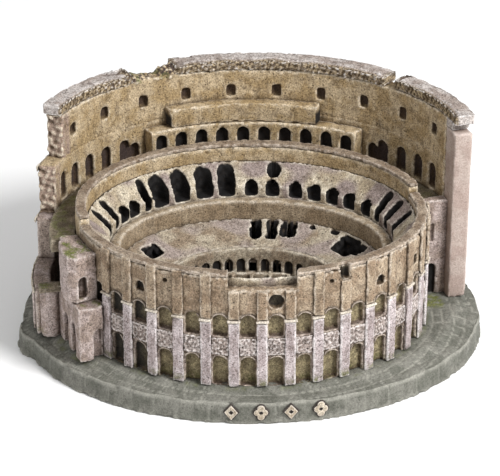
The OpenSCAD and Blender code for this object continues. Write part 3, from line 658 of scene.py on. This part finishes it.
# how each piece is cast, in millimetres; what lies below keepAbove is hidden and left out
plan = {
    "base": {"voxel": 1.0, "lumps": 0.5, "pits": 0.25, "chips": 0.8, "shape": shapeBase},
    "paving": {"voxel": 0.82, "lumps": 0.35, "pits": 0.25, "shape": shapePaving, "keepAbove": 9.5},
    "ornament_plaques": {"voxel": 0.22, "lumps": 0.15, "pits": 0.1, "chips": 0.1},
    "front_ornaments": {"voxel": 0.2, "lumps": 0.15, "pits": 0.1, "chips": 0.15},
    "facade_left": {"voxel": 0.5, "finish": "facade", "craters": 0.3},
    "facade_front": {"voxel": 0.5, "finish": "facade", "craters": 0.3},
    "facade_right": {"voxel": 0.5, "finish": "facade", "craters": 0.3},
    "facade_back": {"voxel": 0.8, "keepAbove": 50},
    "facade_lower_shafts": {"voxel": 0.46, "finish": "shaft", "chips": 0.3, "lumps": 0.4},
    "facade_capitals": {"voxel": 0.36, "lumps": 0.3, "pits": 0.2, "chips": 0.2},
    "facade_upper_shafts": {"voxel": 0.46, "finish": "facade", "chips": 0.4},
    "facade_band": {"voxel": 0.34, "finish": "grit", "lumps": 0.4, "pits": 0.45, "chips": 0,
                    "craters": 0.7},
    "facade_archivolts": {"voxel": 0.28, "finish": "rim", "lumps": 0.3, "pits": 0.3, "chips": 0.35},
    "facade_coping": {"voxel": 0.42, "finish": "coping"},
    "back_parapet": {"voxel": 0.5, "finish": "coping"},
    "upper_seating": {"voxel": 0.6, "shape": shapeRagged, "keepAbove": 44},
    "walkway": {"voxel": 0.75, "finish": "podium", "keepAbove": 36},
    "lower_seating": {"voxel": 0.62, "shape": shapeRagged, "keepAbove": 24},
    "arena_wall": {"voxel": 0.5, "keepAbove": 17.5},
    "arena_floor": {"voxel": 0.8, "keepAbove": 17.5},
    "arena_cells": {"voxel": 0.45},
    "passage_floor": {"voxel": 0.8, "lumps": 1.0, "keepAbove": 50},
    "gallery_arcade": {"voxel": 0.5},
    "gallery_block": {"voxel": 0.5, "chips": 0.7},
    "storey_1_wall": {"voxel": 0.8, "meets": storeyTops[:1]},
    "storey_1_columns": {"voxel": 0.6},
    "storey_1_band": {"voxel": 0.55},
    "storey_2_wall": {"voxel": 0.8, "meets": storeyTops[:2]},
    "storey_2_columns": {"voxel": 0.6},
    "storey_2_band": {"voxel": 0.55},
    "storey_3_wall": {"voxel": 0.62, "pits": 0.45, "craters": 0.25, "meets": storeyTops[1:],
                      "shape": shapeEnd},
    "storey_3_columns": {"voxel": 0.6},
    "storey_3_band": {"voxel": 0.55},
    "attic_wall": {"voxel": 0.6, "pits": 0.45, "craters": 0.25, "meets": storeyTops[2:],
                   "shape": shapeEnd, "stones": gapStones},
    "attic_pilasters": {"voxel": 0.55},
    "attic_corbels": {"voxel": 0.3, "lumps": 0.2, "pits": 0.1, "chips": 0},
    "cornice_left": {"voxel": 0.42, "pits": 0.5, "shape": shapeCornice, "stones": leftStones},
    "cornice_back": {"voxel": 0.42, "pits": 0.5, "shape": shapeCornice, "stones": backStones},
    "cornice_right": {"voxel": 0.42, "pits": 0.5, "shape": shapeCornice, "stones": rightStones},
    "right_pier": {"finish": "pier", "lumps": 0.6, "pits": 0.1},
    "right_pier_capital": {"voxel": 0.45},
    "right_cross_wall": {"voxel": 0.45},
    "left_column": {"voxel": 0.5},
    "left_column_cap": {"voxel": 0.45},
    "left_block": {"voxel": 0.45},
    "left_tower": {"voxel": 0.45},
}


def sloped(points, top, foot, outside, inside):
    # the height of a plain sloping seat over each point
    out, inn = inward(points, outside), -inward(points, inside)
    share = out / np.maximum(out + inn, 1e-6)
    return top + (foot - top) * np.clip(share, 0, 1)


def enclosed(piece, reach):
    # how shut in each point is: the share of a few rays that strike the piece again
    tree = BVHTree.FromObject(piece, bpy.context.evaluated_depsgraph_get())
    level = [(1, 0, 0), (-1, 0, 0), (0, 1, 0), (0, -1, 0)]
    raised = [(1, 1, 0.3), (-1, 1, 0.3), (1, -1, 0.3), (-1, -1, 0.3), (0, 0, 1)]
    ways = [Vector(way).normalized() for way in level + raised]
    values = []
    for vertex in piece.data.vertices:
        start = vertex.co + vertex.normal * 0.15 * mm
        free = [way for way in ways if way.dot(vertex.normal) > -0.2]
        hits = sum(tree.ray_cast(start, way, reach)[0] is not None for way in free)
        values.append(hits / max(len(free), 1))
    return np.array(values)


def whole(points):
    # 0 on the end faces of a stretch of the tall wall or its gallery, 1 between them
    turn = evenTurn(points, "outer")
    return smooth(1, 1.5, turn - turn.min()) * smooth(1, 1.5, turn.max() - turn)


def corniceBreaks(points):
    # the cornice's torn inner face, and the stone near its broken ends
    inner = 1 - smooth(0.4, 1.8, np.abs(inward(points, "passage")) / mm)
    turn = evenTurn(points, "outer")
    ends = [1 - smooth(0.6, 2.4, np.abs(turn - end)) for end in (*cornice["gap"], *cornice["notch"])]
    return inner, np.max(ends, axis=0)


def openings(piece, node, points, normals):
    # how deep in an opening each point lies, from 0 to 1: the mask for the painted shade of openings and, on
    # the facade, the arch backs' colour
    plain = 1 - smooth(0.35, 0.8, normals[:, 2])
    height = points[:, 2] / mm
    if node in facades:
        depth = inward(points, "facade") / mm
        return smooth(0.7, 2.0, depth) * (1 - smooth(3.3, 4.2, depth)) * plain
    if node in storeys:
        outside = inward(points, "outer") / mm
        inside = -inward(points, "passage") / mm
        value = smooth(0.7, 2.2, outside) * (1 - smooth(3.2, 4.0, outside)) * plain
        if node in ("storey_3_wall", "attic_wall"):
            value = np.maximum(value, smooth(0.35, 1.2, inside) * (1 - smooth(4.0, 4.6, inside)) * plain)
        value *= whole(points)
        if node == "attic_wall":
            # the heaps of stone in the cornice's gap are dark too
            heaped = smooth(0.2, 1.0, height - corniceFoot)
            value = np.maximum(value, heaped * smooth(-0.35, 0.1, field(points, 1.4 * mm, 64)))
        return value
    if node == "gallery_arcade":
        inside = -inward(points, "gallery") / mm
        return smooth(0.4, 1.4, inside) * (1 - smooth(3.6, 4.4, inside)) * plain * whole(points)
    if node == "arena_wall":
        inside = -inward(points, "floor") / mm
        return smooth(0.3, 0.9, inside) * (1 - smooth(1.5, 1.8, inside)) * plain
    if node == "upper_seating":
        below = sloped(points, seatHigh[2], doorHigh[2] + doorWallH, "seating", "door") / mm - height
        # the front stretch stands bare above the broken facade
        bare = np.maximum(smooth(0.5, 0.9, inward(points, "seating") / mm),
                          smooth(0, 8 * mm, points[:, 1] - centreY))
        return smooth(0.4, 1.1, below) * smooth(0.3, 0.8, -inward(points, "door") / mm) * bare
    if node == "lower_seating":
        below = sloped(points, podiumHigh[2], arenaWallHigh[2], "podium", "arena") / mm - height
        return (smooth(0.4, 1.1, below) * smooth(0.0, 0.3, inward(points, "podium") / mm)
                * smooth(0.3, 0.9, -inward(points, "arena") / mm))
    if node == "right_cross_wall":
        # its openings go in from the face that looks back along the wall
        angle = np.arctan2(points[:, 0] - outerX, centreY - points[:, 1])
        radius = np.hypot(points[:, 0] - outerX, points[:, 1] - centreY) / mm
        behind = (angle - angle.min()) * radius
        return smooth(0.8, 1.8, behind) * (1 - smooth(3.2, 3.9, behind)) * plain
    if node in ("left_block", "left_tower"):
        # painted shade where the piece shuts a point in, found by rays
        return smooth(0.45, 0.75, enclosed(piece, 5 * mm))
    if node.startswith("cornice_"):
        inner, ends = corniceBreaks(points)
        torn = inner * smooth(-0.1, 0.25, field(points, 1.2 * mm, 61))
        torn *= smooth(corniceFoot - 1, corniceFoot + 1.2, height)
        return np.maximum(torn, 0.9 * ends * smooth(-0.15, 0.2, field(points, 1.4 * mm, 63)))
    return None


# how black the painted shade is inside some pieces' openings
shadeInside = {"right_cross_wall": 1, "upper_seating": 1, "lower_seating": 1, "gallery_arcade": 0.9,
               "arena_wall": 0.85}


def paintedShade(node, points, deep):
    # painted shade that stays nearly black, however the light falls
    if node in facades:
        # painted shade in the round holes high up, and painted shadow in the arches at the left
        turn = evenTurn(points, "facade")
        left = (turn > 270) * (1 - smooth(316, 326, turn)) * 0.9
        high = smooth(34, 35.5, (points[:, 2] - pavingHigh[2]) / mm) * 0.8
        return deep * np.maximum(high, left)
    if node in shadeInside:
        # the painted shade is broken where a few lighter stones show
        return deep * shadeInside[node] * (0.86 + 0.14 * smooth(-0.4, 0.1, field(points, 2 * mm, 62)))
    if node == "facade_back":
        # painted shade on the thin stone behind the light well
        behind = 1 - smooth(0.8, 1.4, np.abs(inward(points, "seating")) / mm)
        return behind * smooth(0.4, 1.0, (seatHigh[2] - points[:, 2]) / mm)
    if node == "gallery_block":
        # painted shade in the hollows at its two ends
        turn = evenTurn(points, "outer")
        ends = np.maximum(1 - smooth(0.2, 0.6, turn.max() - turn), 1 - smooth(0.2, 0.6, turn - turn.min()))
        share = (points[:, 2] - points[:, 2].min()) / np.ptp(points[:, 2])
        return ends * (1 - smooth(0.55, 0.9, share))
    return None


def mossy(node, points, normals):
    # where moss grows, from 0 to 1
    up = smooth(0.3, 0.8, normals[:, 2])
    cloud = smooth(-0.1, 0.35, field(points, 7 * mm, 41))
    height = points[:, 2] / mm
    if node == "passage_floor":
        return cloud * (0.4 + 0.25 * (points[:, 0] < -60 * mm))
    if node in ("left_tower", "left_block", "left_column_cap"):
        return up * cloud
    if node == "walkway":
        return (1 - smooth(0, 1.6, inward(points, "door") / mm)) * cloud * 0.7
    if node in facades or node in ("facade_lower_shafts", "left_column", "storey_1_wall"):
        low = 1 - smooth(1, 5, height - pavingHigh[2] / mm)
        return low * smooth(-0.15, 0.3, field(points, 14 * mm, 42)) * 0.9
    if node == "paving":
        out = -inward(points, "facade") / mm
        turn = evenTurn(points, "facade")
        right = (1 - smooth(3, 5.5, np.abs(out - 6))) * (1 - smooth(3, 6, np.abs(turn - 100)))
        left = 1 - smooth(6, 16, np.abs(turn - 292))
        foot = 1 - smooth(0, 2, np.abs(out - 1))
        return np.maximum(np.maximum(right, 0.5 * left * cloud), foot * cloud * 0.35)
    if node == "attic_wall":
        turn = evenTurn(points, "outer")
        return (turn > 207) * (turn < 219) * smooth(corniceFoot - 1, corniceFoot, height) * cloud * 0.7
    return None


def jointed(node, points, normals):
    # the joints of the paving, and fainter ones down the base's side
    if node not in ("base", "paving"):
        return None
    up = smooth(0.5, 0.9, normals[:, 2])
    lines = grooves(evenTurn(points, "base"), edge["spacing"], 0.3, edge["seed"])
    return np.maximum(slabs(points) * up, lines * (1 - up) * (0.6 if node == "base" else 0))


def tinted(node, points, normals):
    # where a finish's other tone shows
    if node.startswith("cornice_"):
        return np.maximum(*corniceBreaks(points))
    if node in storeys:
        # the broken left end faces the front
        turn = evenTurn(points, "outer")
        return (1 - smooth(4, 6, turn.max() - turn)) * smooth(0.1, 0.5, -normals[:, 1])
    if node in ("upper_seating", "lower_seating"):
        spread = points * np.array([1, 1, 0.3])
        return smooth(-0.05, 0.4, field(spread, 16 * mm, 51))
    return None


total = 0
for node, settings in plan.items():
    piece = cast(node, **settings)
    points, normals = places(piece), facing(piece)
    deep = openings(piece, node, points, normals)
    painting = {"deep": deep, "black": paintedShade(node, points, deep), "moss": mossy(node, points, normals),
                "joint": jointed(node, points, normals), "tint": tinted(node, points, normals)}
    for name, values in painting.items():
        if values is not None:
            paint(piece, name, values)
    total += sum(len(face.vertices) - 2 for face in piece.data.polygons)
    print(node, len(piece.data.polygons))
print("castings made, triangles:", total)
